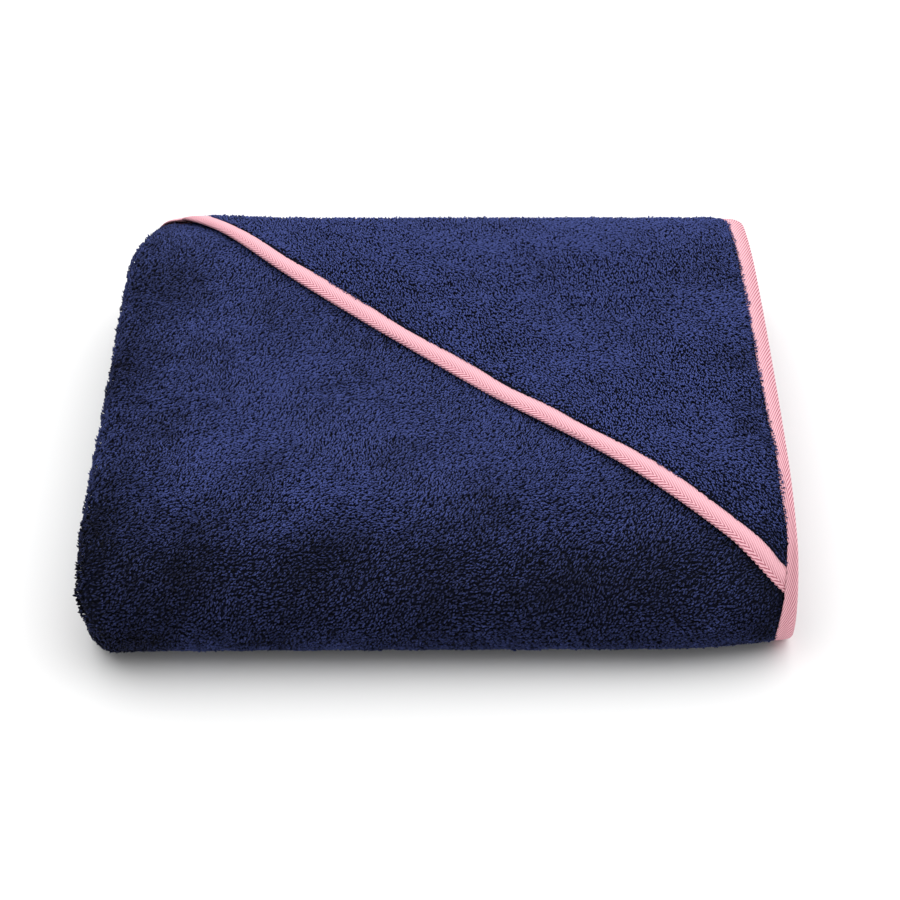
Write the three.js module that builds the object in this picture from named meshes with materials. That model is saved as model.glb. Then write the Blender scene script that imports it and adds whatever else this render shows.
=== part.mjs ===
import * as THREE from "three";

// A hooded towel of cotton terry, folded twice in thirds into a square stack with its hood on top.
// Millimetres, +Z up. The origin is on the table, under the middle of the stack; the hood's corner is at
// the back on the right.

// The cut pieces
const TOWEL_SIDE = 1000;
const CORNER_RADIUS = 20;
const HOOD_LEG = 330;

// Half the thickness of the terry with its pile, and of the same cloth pressed flat under a tape
const TERRY_HALF = 2.5;
const PRESSED_HALF = 0.8;
const HOOD_THICKNESS = 4.2;
const HOOD_PRESSED = 1.2;

// A tape is 20 mm wide and folded in half over an edge
const TAPE_COVER = 10;
const TAPE_THICKNESS = 0.8;
const CLEARANCE = 0.3;
const BINDING_CLEARANCE = 0.6;
const HOOD_CLEARANCE = 0.7;
const HOOD_TAPE_END = 2;
const HOOD_TAPE_STEP = 9;
const CLOSEST_LINES = 1;

// Where the edge binding climbs onto the end of the hood's tape and comes down, from the hood's tip
const BINDING_CLIMB = { start: -42, top: -26, topEnd: 1, end: 22 };

// The folded stack: nine layers, as three panels of three
const STACK_WIDTH = 340;
const STACK_DEPTH = 334;
const LAYER_PITCH = 7.2;
const PANEL_PITCH = 3 * LAYER_PITCH;
const PANEL_HEIGHT = 2 * LAYER_PITCH + 2 * TERRY_HALF;
const STACK_HEIGHT = 2 * PANEL_PITCH + PANEL_HEIGHT;
const TAPE_REACH = CLEARANCE + TAPE_THICKNESS;
const RIGHT_FOLD_STEP = 10;
const INNER_EDGE_SHORT = 12;

// How full the pile stands at a distance from a taped edge, 0 pressed flat and 1 full
const PILE_RISE = [
  { distance: 0, fullness: 0 },
  { distance: TAPE_COVER, fullness: 0 },
  { distance: 15, fullness: 0.6 },
  { distance: CORNER_RADIUS, fullness: 1 },
];

// How the soft stack settles. A share of the half width or half depth says where each sag starts.
const FRONT_SAG = { start: 0.48, drop: 10, extraOnRight: 8.5, yaw: 2.4 };
const BACK_SAG = { start: 0.5, drop: 13.3 };
const BACK_EDGE = { start: 0.9, drop: 4 };
const BACK_LEFT_CORNER = { start: 0.4, pulledIn: 15, sagStart: 0.68, drop: 4.5 };
const FRONT_LEFT_CORNER = { start: 0.7, sideStart: 0.5, pulledIn: 11, sagStart: 0.7, drop: 3.5 };
const FRONT_LEFT_TOE = { sideStart: 0.8, pulledIn: 4.5, height: 20 };
const FRONT_RIGHT_CORNER = { start: 0.6, pulledBack: 8.5, extraBelow: 3 };
const BOW = 1.6;

// On the left side the front fold bulges out, and the bound edge inside it is tucked in
const LEFT_SIDE_START = 0.5;
const LEFT_SPOTS = [
  { y: -152, z: 39, reach: 11, pulledIn: -5.7 },
  { y: -124, z: 31, reach: 9.5, pulledIn: 5 },
];

// By the left end of the hood the upper layers are drawn back, which bends the hood's long edge
const DRAWN_BACK = { x: -134, y: 110, reach: 28, backward: 9 };

// Moves the middle of the settled stack over the origin
const CENTRING = { x: -1.18, y: 0.91 };

// Soft swells and hollows of the top, which fade towards the table
const SWELL_RADIUS = 38;
const SWELLS = [
  { x: 79, y: -82, height: 1 },
  { x: 19, y: -22, height: -3.5 },
  { x: -36, y: 33, height: -2.8 },
  { x: -96, y: 88, height: -2 },
];

// Steps along a flat run and round a half turn
const ACROSS_STEPS = { flat: [11, 6, 5], turn: [8, 6] };
const ALONG_STEPS = { flat: [13, 5, 5], turn: [15, 7] };

// A folded profile: three flat runs joined by two half turns, all turning the same way. It starts at
// the cut edge, on the level `top`, and runs towards the first turn. `clothOffset` is how far outside
// the profile the cloth's length is measured.
function foldedProfile({ edge, firstTurn, secondTurn, firstRadius, secondRadius, top, clothOffset }) {
  const firstArc = Math.PI * (firstRadius + clothOffset);
  const secondArc = Math.PI * (secondRadius + clothOffset);
  const turnIn = edge - firstTurn;
  const turnOut = turnIn + firstArc;
  const backIn = turnOut + secondTurn - firstTurn;
  const backOut = backIn + secondArc;
  const firstCentre = top - firstRadius;
  const bottom = top - 2 * firstRadius;
  const secondCentre = bottom + secondRadius;

  function at(length) {
    if (length <= turnIn) {
      return { position: edge - length, level: top, out: 0, up: 1 };
    }
    if (length <= turnOut) {
      const angle = (length - turnIn) / (firstRadius + clothOffset);
      const out = -Math.sin(angle);
      const up = Math.cos(angle);
      return { position: firstTurn + firstRadius * out, level: firstCentre + firstRadius * up, out, up };
    }
    if (length <= backIn) {
      return { position: firstTurn + length - turnOut, level: bottom, out: 0, up: -1 };
    }
    if (length <= backOut) {
      const angle = (length - backIn) / (secondRadius + clothOffset);
      const out = Math.sin(angle);
      const up = -Math.cos(angle);
      return { position: secondTurn + secondRadius * out, level: secondCentre + secondRadius * up, out, up };
    }
    return { position: secondTurn - (length - backOut), level: secondCentre + secondRadius, out: 0, up: 1 };
  }
  return { at, turnIn, turnOut, backIn, backOut };
}

// Across the stack: from the bound right edge to the left fold, back under to the right fold, and in
const leftFold = -STACK_WIDTH / 2 + LAYER_PITCH + TERRY_HALF;
const rightEdge = STACK_WIDTH / 2 - TAPE_REACH;
const acrossProfile = foldedProfile({
  edge: rightEdge,
  firstTurn: leftFold,
  secondTurn: rightEdge - RIGHT_FOLD_STEP,
  firstRadius: LAYER_PITCH,
  secondRadius: LAYER_PITCH / 2,
  top: LAYER_PITCH,
  clothOffset: 0,
});

// From the back edge to the front fold, back along the table to the back fold, and in between. The last
// run ends a little short of the front fold, which fixes where the back edge lies.
const frontFold = -STACK_DEPTH / 2 + PANEL_PITCH + LAYER_PITCH + TERRY_HALF;
const backFold = STACK_DEPTH / 2 - PANEL_PITCH / 2 - LAYER_PITCH - TERRY_HALF;
const turnLength = Math.PI * (1.5 * PANEL_PITCH + 2 * LAYER_PITCH);
const innerEdge = frontFold + INNER_EDGE_SHORT;
const backEdge = innerEdge + TOWEL_SIDE - turnLength - 2 * (backFold - frontFold);
const alongProfile = foldedProfile({
  edge: backEdge,
  firstTurn: frontFold,
  secondTurn: backFold,
  firstRadius: PANEL_PITCH,
  secondRadius: PANEL_PITCH / 2,
  top: 2 * PANEL_PITCH + PANEL_HEIGHT / 2,
  clothOffset: LAYER_PITCH,
});

// A soft onset: nothing before `start`, then growing with the square of the distance
function onset(value, start) {
  const reach = Math.max(0, (value - start) / (1 - start));
  return reach * reach;
}

// The stack's own weight: flat on the table, and more uneven the higher up
function settle(x, y, z) {
  const side = x / (STACK_WIDTH / 2);
  const depth = y / (STACK_DEPTH / 2);
  const height = z / STACK_HEIGHT;
  const front = onset(-depth, FRONT_SAG.start);
  const back = onset(depth, BACK_SAG.start);
  const leftFront = onset(-depth, FRONT_LEFT_CORNER.start);

  let rise = -front * (FRONT_SAG.drop + FRONT_SAG.extraOnRight * side) - back * BACK_SAG.drop;
  rise -= BACK_EDGE.drop * onset(depth, BACK_EDGE.start);
  rise -= BACK_LEFT_CORNER.drop * onset(-side, BACK_LEFT_CORNER.sagStart) * back;
  rise -= FRONT_LEFT_CORNER.drop * onset(-side, FRONT_LEFT_CORNER.sagStart) * leftFront;
  for (const swell of SWELLS) {
    const distance = Math.hypot(x - swell.x, y - swell.y) / SWELL_RADIUS;
    rise += swell.height * Math.exp(-distance * distance / 2);
  }

  let shift = BOW * (1 - depth * depth);
  shift += BACK_LEFT_CORNER.pulledIn * onset(-side, BACK_LEFT_CORNER.start) * back;
  shift += FRONT_LEFT_CORNER.pulledIn * onset(-side, FRONT_LEFT_CORNER.sideStart) * leftFront;
  const toe = Math.exp(-z / FRONT_LEFT_TOE.height) * onset(-side, FRONT_LEFT_TOE.sideStart);
  shift += FRONT_LEFT_TOE.pulledIn * toe * leftFront;
  for (const spot of LEFT_SPOTS) {
    const distance = Math.hypot(y - spot.y, z - spot.z) / spot.reach;
    shift += spot.pulledIn * Math.exp(-distance * distance / 2) * onset(-side, LEFT_SIDE_START);
  }

  let backward = FRONT_SAG.yaw * side * Math.max(0, -depth);
  const rightBack = FRONT_RIGHT_CORNER.pulledBack + FRONT_RIGHT_CORNER.extraBelow * (1 - height);
  backward += rightBack * onset(side, FRONT_RIGHT_CORNER.start) * leftFront;
  const fromDrawn = Math.hypot(x - DRAWN_BACK.x, y - DRAWN_BACK.y) / DRAWN_BACK.reach;
  backward += DRAWN_BACK.backward * height * Math.exp(-fromDrawn * fromDrawn / 2);
  return new THREE.Vector3(x + shift + CENTRING.x, y + backward + CENTRING.y, z + height * rise);
}

// The towel's square corners are rounded off: a square ring round a corner's centre becomes a circle
function roundCorner(across, along) {
  const acrossCentre = THREE.MathUtils.clamp(across, CORNER_RADIUS, TOWEL_SIDE - CORNER_RADIUS);
  const alongCentre = THREE.MathUtils.clamp(along, CORNER_RADIUS, TOWEL_SIDE - CORNER_RADIUS);
  const a = across - acrossCentre;
  const b = along - alongCentre;
  const ring = Math.max(Math.abs(a), Math.abs(b));
  const length = Math.hypot(a, b);
  if (ring === 0) {
    return [across, along];
  }
  return [acrossCentre + a * ring / length, alongCentre + b * ring / length];
}

// A point of the flat towel, lifted off its middle by `lift`, where it lies in the folded stack
function folded(across, along, lift) {
  const [u, v] = roundCorner(across, along);
  const sideways = acrossProfile.at(u);
  const x = sideways.position + lift * sideways.out;
  const offPanel = sideways.level + lift * sideways.up;
  const lengthways = alongProfile.at(v);
  const y = lengthways.position + offPanel * lengthways.out;
  const z = lengthways.level + offPanel * lengthways.up;
  return settle(x, y, z);
}

// Lines across the cloth where it bends: the taped bands at both ends, the flat runs and the half turns
function bendLines(profile, { flat, turn }) {
  const band = PILE_RISE.map((row) => row.distance);
  const start = band.at(-1);
  const stops = [start, profile.turnIn, profile.turnOut, profile.backIn, profile.backOut, TOWEL_SIDE - start];
  const steps = [flat[0], turn[0], flat[1], turn[1], flat[2]];
  const lines = [...band];
  steps.forEach((count, run) => {
    for (let step = 1; step <= count; step += 1) {
      lines.push(stops[run] + (stops[run + 1] - stops[run]) * step / count);
    }
  });
  for (const distance of band.slice(0, -1).reverse()) {
    lines.push(TOWEL_SIDE - distance);
  }
  return lines;
}

const acrossLines = bendLines(acrossProfile, ACROSS_STEPS);
const alongLines = bendLines(alongProfile, ALONG_STEPS);

function fullness(distance) {
  const last = PILE_RISE.at(-1);
  if (distance >= last.distance) {
    return last.fullness;
  }
  const next = PILE_RISE.findIndex((row) => row.distance > distance);
  const before = PILE_RISE[Math.max(0, next - 1)];
  const after = PILE_RISE[next];
  const share = (distance - before.distance) / (after.distance - before.distance);
  return before.fullness + (after.fullness - before.fullness) * Math.max(0, share);
}

function towelEdgeDistance(across, along) {
  return Math.min(across, along, TOWEL_SIDE - across, TOWEL_SIDE - along);
}

function hoodEdgeDistance(across, along) {
  return (HOOD_LEG - across - along) / Math.SQRT2;
}

function towelHalf(across, along) {
  const full = fullness(towelEdgeDistance(across, along));
  return PRESSED_HALF + (TERRY_HALF - PRESSED_HALF) * full;
}

// The hood lies on the towel, and climbs over the lower half of its own tape along its long edge
function hoodUnderside(across, along) {
  const climb = (TAPE_THICKNESS + HOOD_CLEARANCE) * (1 - fullness(hoodEdgeDistance(across, along)));
  return towelHalf(across, along) + HOOD_CLEARANCE + climb;
}

function hoodTop(across, along) {
  const full = Math.min(fullness(hoodEdgeDistance(across, along)), fullness(Math.min(across, along)));
  return hoodUnderside(across, along) + HOOD_PRESSED + (HOOD_THICKNESS - HOOD_PRESSED) * full;
}

// Splits flat convex pieces by the line a * across + b * along = c
function split(pieces, { a, b, c }) {
  const parts = [];
  for (const piece of pieces) {
    const offsets = piece.map(([across, along]) => a * across + b * along - c);
    for (const sign of [1, -1]) {
      const part = [];
      piece.forEach((point, index) => {
        const next = (index + 1) % piece.length;
        const here = sign * offsets[index];
        const there = sign * offsets[next];
        if (here >= 0) {
          part.push(point);
        }
        if (here * there < 0) {
          const share = here / (here - there);
          part.push(point.map((value, axis) => value + (piece[next][axis] - value) * share));
        }
      });
      if (part.length > 2 && offsets.some((offset) => sign * offset > 0)) {
        parts.push(part);
      }
    }
  }
  return parts;
}

// Collects numbered points and triangles into one geometry
function solidBuilder() {
  const positions = [];
  const triangles = [];
  function addPoint(point) {
    positions.push(point.x, point.y, point.z);
    return positions.length / 3 - 1;
  }
  function addQuad(a, b, c, d) {
    triangles.push(a, b, c, a, c, d);
  }
  function addFan(corners) {
    for (let index = 1; index < corners.length - 1; index += 1) {
      triangles.push(corners[0], corners[index], corners[index + 1]);
    }
  }
  function geometry() {
    const result = new THREE.BufferGeometry();
    result.setAttribute("position", new THREE.Float32BufferAttribute(positions, 3));
    result.setIndex(triangles);
    result.computeVertexNormals();
    return result;
  }
  return { addPoint, addQuad, addFan, geometry };
}

// The same piece, starting at the corner nearest the towel's hood corner, so that cloth lying on cloth
// creases along the same lines
function fromNearestCorner(piece) {
  const reach = piece.map(([across, along]) => across + along + across / TOWEL_SIDE);
  const first = reach.indexOf(Math.min(...reach));
  return [...piece.slice(first), ...piece.slice(0, first)];
}

// A cut piece of terry, closed all round: its top, its underside and the wall along its cut edge
function terrySolid(outline, lines, top, underside) {
  const builder = solidBuilder();
  const numbered = new Map();
  const edges = new Map();
  function pair([across, along]) {
    const key = `${across.toFixed(4)} ${along.toFixed(4)}`;
    if (!numbered.has(key)) {
      numbered.set(key, {
        key,
        above: builder.addPoint(folded(across, along, top(across, along))),
        below: builder.addPoint(folded(across, along, underside(across, along))),
      });
    }
    return numbered.get(key);
  }
  for (const piece of lines.reduce(split, [outline])) {
    const corners = fromNearestCorner(piece).map(pair);
    builder.addFan(corners.map((corner) => corner.above));
    builder.addFan(corners.map((corner) => corner.below).reverse());
    corners.forEach((from, index) => {
      const to = corners[(index + 1) % corners.length];
      edges.set(`${from.key} ${to.key}`, { from, to, back: `${to.key} ${from.key}` });
    });
  }
  for (const { from, to, back } of edges.values()) {
    if (!edges.has(back)) {
      builder.addQuad(from.above, from.below, to.below, to.above);
    }
  }
  return builder.geometry();
}

// A tape folded in half over an edge: a U at every station, and no ends where it is closed. `creases`
// says for a span whether its creases run inwards from this station to the next, as the cloth's do.
function tapeSolid(stations, closed, creases) {
  const builder = solidBuilder();
  const rings = stations.map((section) => section.map(({ point }) => builder.addPoint(point)));
  const inward = stations[0].map((corner) => corner.inward);
  const spans = closed ? rings.length : rings.length - 1;
  for (let station = 0; station < spans; station += 1) {
    const here = rings[station];
    const there = rings[(station + 1) % rings.length];
    here.forEach((start, index) => {
      const next = (index + 1) % here.length;
      if (inward[next] > inward[index] === creases(station)) {
        builder.addQuad(start, there[index], there[next], here[next]);
      } else {
        builder.addQuad(there[index], there[next], here[next], start);
      }
    });
  }
  if (!closed) {
    capTape(builder, rings[0], false);
    capTape(builder, rings.at(-1), true);
  }
  return builder.geometry();
}

// The end of a tape, filled in between the outside and the inside of its U. The outside has one corner
// more at each side of the fold, which shares its partner with the corner before it.
function capTape(builder, ring, reversed) {
  const last = ring.length - 1;
  const outsideCount = ring.length / 2 + 1;
  const foldStart = outsideCount / 2 - 1;
  function partner(index) {
    const shared = (index >= foldStart ? 1 : 0) + (index > foldStart + 1 ? 1 : 0);
    return ring[last - index + shared];
  }
  for (let index = 0; index < outsideCount - 1; index += 1) {
    const corners = [...new Set([ring[index], ring[index + 1], partner(index + 1), partner(index)])];
    builder.addFan(reversed ? corners.reverse() : corners);
  }
}

// The U of a folded tape. `inward` is measured from the cloth's edge, and the lifts from its middle.
// Each half of the tape is flat between the distances in `halves`.
function tapeSection(lowerInner, upperInner, halves) {
  const lowerOuter = lowerInner - TAPE_THICKNESS;
  const upperOuter = upperInner + TAPE_THICKNESS;
  const outwards = [...halves].reverse();
  const onHalf = (distances, lift) => distances.map((inward) => ({ inward, lift }));
  return [
    ...onHalf([...outwards, CLEARANCE], lowerOuter),
    { inward: -TAPE_REACH, lift: lowerOuter + TAPE_THICKNESS },
    { inward: -TAPE_REACH, lift: upperOuter - TAPE_THICKNESS },
    ...onHalf([CLEARANCE, ...halves], upperOuter),
    ...onHalf([...outwards, -CLEARANCE], upperInner),
    ...onHalf([-CLEARANCE, ...halves], lowerInner),
  ];
}

// How high the edge binding's upper half lies above the middle of the towel, by the distance from the
// hood's corner: over the hood's edge, over the end of the hood's tape, and down to the towel alone
const overTowel = PRESSED_HALF + BINDING_CLEARANCE;
const overHood = PRESSED_HALF + HOOD_CLEARANCE + HOOD_PRESSED + BINDING_CLEARANCE;
const overHoodTape = overHood + 2 * (TAPE_THICKNESS + HOOD_CLEARANCE) + CLEARANCE;
const BINDING_LIFT = [
  { distance: 0, lift: overHood },
  { distance: HOOD_LEG + BINDING_CLIMB.start, lift: overHood },
  { distance: HOOD_LEG + BINDING_CLIMB.top, lift: overHoodTape },
  { distance: HOOD_LEG + BINDING_CLIMB.topEnd, lift: overHoodTape },
  { distance: HOOD_LEG + BINDING_CLIMB.end, lift: overTowel },
  { distance: TOWEL_SIDE, lift: overTowel },
];

function bindingLift(distance) {
  const next = BINDING_LIFT.findIndex((row) => row.distance > distance);
  if (next < 0) {
    return overTowel;
  }
  const before = BINDING_LIFT[next - 1];
  const after = BINDING_LIFT[next];
  const share = (distance - before.distance) / (after.distance - before.distance);
  return before.lift + (after.lift - before.lift) * share;
}

// Stations along one edge, denser where the binding climbs over the end of the hood's tape
function bindingLines(lines) {
  const extra = BINDING_LIFT.slice(1, -1).map((row) => row.distance);
  const kept = lines.filter((line) => extra.every((other) => Math.abs(other - line) > CLOSEST_LINES));
  return [...kept, ...extra].sort((a, b) => a - b);
}

// Once round the towel's edge, starting at the hood's corner
function bindingStations() {
  const across = bindingLines(acrossLines);
  const along = bindingLines(alongLines);
  const round = [
    ...across.slice(0, -1).map((u) => ({ base: [u, 0], lift: bindingLift(u) })),
    ...alongLines.slice(0, -1).map((v) => ({ base: [TOWEL_SIDE, v], lift: overTowel })),
    ...acrossLines.slice(1).reverse().map((u) => ({ base: [u, TOWEL_SIDE], lift: overTowel })),
    ...along.slice(1).reverse().map((v) => ({ base: [0, v], lift: bindingLift(v) })),
  ];
  return round.map(({ base, lift }) => {
    return tapeSection(-overTowel, lift, [TAPE_COVER]).map((corner) => {
      return { inward: corner.inward, point: edgePoint(base, corner.inward, corner.lift) };
    });
  });
}

// A point at a distance inside the towel's edge, towards the centre of a corner where one is near
function edgePoint([across, along], inward, lift) {
  const acrossCentre = THREE.MathUtils.clamp(across, CORNER_RADIUS, TOWEL_SIDE - CORNER_RADIUS);
  const alongCentre = THREE.MathUtils.clamp(along, CORNER_RADIUS, TOWEL_SIDE - CORNER_RADIUS);
  const share = 1 - inward / CORNER_RADIUS;
  const u = acrossCentre + (across - acrossCentre) * share;
  const v = alongCentre + (along - alongCentre) * share;
  return folded(u, v, lift);
}

// Stations along the hood's long edge, by their distance from the back edge: where the cloth under it
// creases, and no further apart than the tape is wide. The ends lie under the edge binding.
function hoodTapeLines() {
  const start = HOOD_TAPE_END + TAPE_COVER * Math.SQRT1_2;
  const end = HOOD_LEG - start;
  const band = PILE_RISE.slice(2).map((row) => row.distance);
  const lines = [start, ...band, ...band.map((distance) => HOOD_LEG - distance), end];
  const creases = [...alongLines, ...acrossLines.map((line) => HOOD_LEG - line)];
  for (const line of creases.filter((crease) => crease > start && crease < end)) {
    if (lines.every((other) => Math.abs(other - line) > CLOSEST_LINES)) {
      lines.push(line);
    }
  }
  lines.sort((a, b) => a - b);
  return lines.flatMap((line, index) => {
    const gap = (lines[index + 1] ?? line) - line;
    const parts = Math.max(1, Math.ceil(gap / HOOD_TAPE_STEP));
    return Array.from({ length: parts }, (_, part) => line + gap * part / parts);
  });
}

// Along the hood's long edge, with its lower half between the towel and the hood
function hoodTapeStations() {
  const lower = HOOD_CLEARANCE + TAPE_THICKNESS;
  const upper = lower + 2 * HOOD_CLEARANCE + HOOD_PRESSED;
  return hoodTapeLines().map((line) => {
    return tapeSection(lower, upper, [TAPE_COVER / 2, TAPE_COVER]).map(({ inward, lift }) => {
      const across = HOOD_LEG - line - inward * Math.SQRT1_2;
      const along = line - inward * Math.SQRT1_2;
      return { inward, point: folded(across, along, towelHalf(across, along) + lift) };
    });
  });
}

// Cotton terry with a loop pile: matt and dark
function navyTerry() {
  return new THREE.MeshStandardMaterial({ color: "#333a63", roughness: 0.95, metalness: 0 });
}

// Cotton herringbone tape: matt and pale
function pinkTape() {
  return new THREE.MeshStandardMaterial({ color: "#f1c3cb", roughness: 0.85, metalness: 0 });
}

function named(name, geometry, material) {
  const mesh = new THREE.Mesh(geometry, material);
  mesh.name = name;
  return mesh;
}

// A line at a row's distance inside the hood's long edge
function hoodEdgeLine({ distance }) {
  return { a: 1, b: 1, c: HOOD_LEG - Math.SQRT2 * distance };
}

function makeTowelCloth() {
  const side = TOWEL_SIDE;
  const outline = [[0, 0], [side, 0], [side, side], [0, side]];
  const lines = [
    ...acrossLines.slice(1, -1).map((line) => ({ a: 1, b: 0, c: line })),
    ...alongLines.slice(1, -1).map((line) => ({ a: 0, b: 1, c: line })),
    ...PILE_RISE.map(hoodEdgeLine),
  ];
  const underside = (across, along) => -towelHalf(across, along);
  return named("towel_cloth", terrySolid(outline, lines, towelHalf, underside), navyTerry());
}

function makeHood() {
  const outline = [[0, 0], [HOOD_LEG, 0], [0, HOOD_LEG]];
  const inside = (line) => line > 0 && line < HOOD_LEG;
  const lines = [
    ...acrossLines.filter(inside).map((line) => ({ a: 1, b: 0, c: line })),
    ...alongLines.filter(inside).map((line) => ({ a: 0, b: 1, c: line })),
    ...PILE_RISE.slice(1).map(hoodEdgeLine),
  ];
  return named("hood", terrySolid(outline, lines, hoodTop, hoodUnderside), navyTerry());
}

function makeEdgeBinding() {
  const backSide = bindingLines(acrossLines).length - 1;
  const leftSide = backSide + alongLines.length - 1;
  const frontSide = leftSide + acrossLines.length - 1;
  const creases = (station) => station < backSide || (station >= leftSide && station < frontSide);
  return named("edge_binding", tapeSolid(bindingStations(), true, creases), pinkTape());
}

function makeHoodBinding() {
  return named("hood_binding", tapeSolid(hoodTapeStations(), false, () => true), pinkTape());
}

const hoodedTowel = new THREE.Group();
hoodedTowel.add(makeTowelCloth(), makeHood(), makeEdgeBinding(), makeHoodBinding());

export default hoodedTowel;
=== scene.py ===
import math

import bpy
import numpy as np
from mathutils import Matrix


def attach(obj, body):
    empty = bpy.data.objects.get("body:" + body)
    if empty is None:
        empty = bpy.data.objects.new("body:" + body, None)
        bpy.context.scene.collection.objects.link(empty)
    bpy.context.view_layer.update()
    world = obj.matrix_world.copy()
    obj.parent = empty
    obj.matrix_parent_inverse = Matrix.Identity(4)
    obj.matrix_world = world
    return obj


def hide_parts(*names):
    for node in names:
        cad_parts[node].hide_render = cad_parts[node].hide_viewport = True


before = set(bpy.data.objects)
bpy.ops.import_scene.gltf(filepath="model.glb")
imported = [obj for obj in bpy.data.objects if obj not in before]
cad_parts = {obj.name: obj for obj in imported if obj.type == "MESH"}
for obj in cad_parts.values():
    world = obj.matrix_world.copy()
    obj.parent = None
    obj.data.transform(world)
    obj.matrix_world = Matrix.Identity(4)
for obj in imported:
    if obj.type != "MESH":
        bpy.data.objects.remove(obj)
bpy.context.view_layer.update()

# A hooded towel of navy cotton terry, bound in pale pink herringbone tape and folded into a square stack.
# Sizes are in millimetres until a mesh is made, and the places are those of the CAD solids.

MM = 0.001

# The cut pieces
TOWEL_SIDE = 1000
CORNER_RADIUS = 20
HOOD_LEG = 330
TAPE_THICKNESS = 0.8
CLEARANCE = 0.3
BINDING_CLEARANCE = 0.6
HOOD_CLEARANCE = 0.7
TAPE_REACH = CLEARANCE + TAPE_THICKNESS

# Sewn down, the hood's tape and the cloth in it lie thinner than their solids
HOOD_TAPE_LIFT = 0.25
HOOD_TAPE_THICKNESS = 0.65
HOOD_SEWN = 1.1
SEWN_GAP = 0.05

# Half the terry's thickness with its pile, and how a tape presses it flat, out to this far from the edge
TERRY_HALF = 2.5
PRESSED_HALF = 0.8
HOOD_THICKNESS = 4.2
HOOD_PRESSED = 1.2
PRESSED_BAND = (8.8, 10.6, 13)
PRESSED_FULLNESS = (0, 0.6, 1)

# The folded stack
STACK_WIDTH = 340
STACK_DEPTH = 334
LAYER_PITCH = 7.2
PANEL_PITCH = 3 * LAYER_PITCH
PANEL_HEIGHT = 2 * LAYER_PITCH + 2 * TERRY_HALF
STACK_HEIGHT = 2 * PANEL_PITCH + PANEL_HEIGHT
RIGHT_FOLD_STEP = 10
INNER_EDGE_SHORT = 12

# How the soft stack settles, as in the CAD solids
FRONT_SAG = {"start": 0.48, "drop": 10, "extra_on_right": 8.5, "yaw": 2.4}
BACK_SAG = {"start": 0.5, "drop": 13.3}
BACK_EDGE = {"start": 0.9, "drop": 4}
BACK_LEFT_CORNER = {"start": 0.4, "pulled_in": 15, "sag_start": 0.68, "drop": 4.5}
FRONT_LEFT_CORNER = {"start": 0.7, "side_start": 0.5, "pulled_in": 11, "sag_start": 0.7, "drop": 3.5}
FRONT_LEFT_TOE = {"side_start": 0.8, "pulled_in": 4.5, "height": 20}
FRONT_RIGHT_CORNER = {"start": 0.6, "pulled_back": 8.5, "extra_below": 3}
BOW = 1.6
LEFT_SIDE_START = 0.5
LEFT_SPOTS = (
    {"y": -152, "z": 39, "reach": 11, "pulled_in": -5.7},
    {"y": -124, "z": 31, "reach": 9.5, "pulled_in": 5},
)
DRAWN_BACK = {"x": -134, "y": 110, "reach": 28, "backward": 9}
CENTRING = (-1.18, 0.91)
SWELL_RADIUS = 38
SWELLS = (
    {"x": 79, "y": -82, "height": 1},
    {"x": 19, "y": -22, "height": -3.5},
    {"x": -36, "y": 33, "height": -2.8},
    {"x": -96, "y": 88, "height": -2},
)

# The ground cloth under the pile, and how high the pile stands on it
GROUND_HALF = 1.0
PILE_HEIGHT = 1.5

SEED = 11
TINY = 1e-9


# The camera stands in front of the towel and above it, and comes first
CAMERA_ELEVATION = 36.87
CAMERA_PLACE = (4.95, -1087.79, 824.95)
FOCAL_PIXELS = 2594.9
PHOTO_PIXELS = 900
SENSOR_WIDTH = 36
CLIP_START = 0.05


def make_camera():
    """The camera, with the focal length that was fitted to the photo."""
    lens = bpy.data.cameras.new("camera")
    lens.sensor_width = SENSOR_WIDTH
    lens.lens = FOCAL_PIXELS * SENSOR_WIDTH / PHOTO_PIXELS
    lens.clip_start = CLIP_START
    camera = bpy.data.objects.new("camera", lens)
    camera.location = [MM * value for value in CAMERA_PLACE]
    camera.rotation_euler = (math.radians(90 - CAMERA_ELEVATION), 0, 0)
    bpy.context.scene.collection.objects.link(camera)
    bpy.context.scene.camera = camera


# The fold

class FoldedProfile:
    """Three flat runs joined by two half turns. A length is measured along the cloth from its edge."""

    def __init__(self, edge, first_turn, second_turn, first_radius, second_radius, top, cloth_offset):
        self.edge, self.top = edge, top
        self.first_turn, self.second_turn = first_turn, second_turn
        self.first_radius, self.second_radius = first_radius, second_radius
        self.first_roll = first_radius + cloth_offset
        self.second_roll = second_radius + cloth_offset
        self.turn_in = edge - first_turn
        self.turn_out = self.turn_in + math.pi * self.first_roll
        self.back_in = self.turn_out + second_turn - first_turn
        self.back_out = self.back_in + math.pi * self.second_roll

    def at(self, length):
        """The place along the stack, the level, and the cloth's own direction there, out and up."""
        first = (length - self.turn_in) / self.first_roll
        second = (length - self.back_in) / self.second_roll
        first_centre = self.top - self.first_radius
        bottom = self.top - 2 * self.first_radius
        second_centre = bottom + self.second_radius
        ends = (self.turn_in, self.turn_out, self.back_in, self.back_out)
        runs = [length <= end for end in ends]
        flat = np.zeros_like(length)
        out = np.select(runs, [flat, -np.sin(first), flat, np.sin(second)], flat)
        up = np.select(runs, [flat + 1, np.cos(first), flat - 1, -np.cos(second)], flat + 1)
        position = np.select(runs, [
            self.edge - length,
            self.first_turn + self.first_radius * out,
            self.first_turn + length - self.turn_out,
            self.second_turn + self.second_radius * out,
        ], self.second_turn - (length - self.back_out))
        level = np.select(runs, [
            flat + self.top,
            first_centre + self.first_radius * up,
            flat + bottom,
            second_centre + self.second_radius * up,
        ], flat + second_centre + self.second_radius)
        return position, level, out, up


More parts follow.
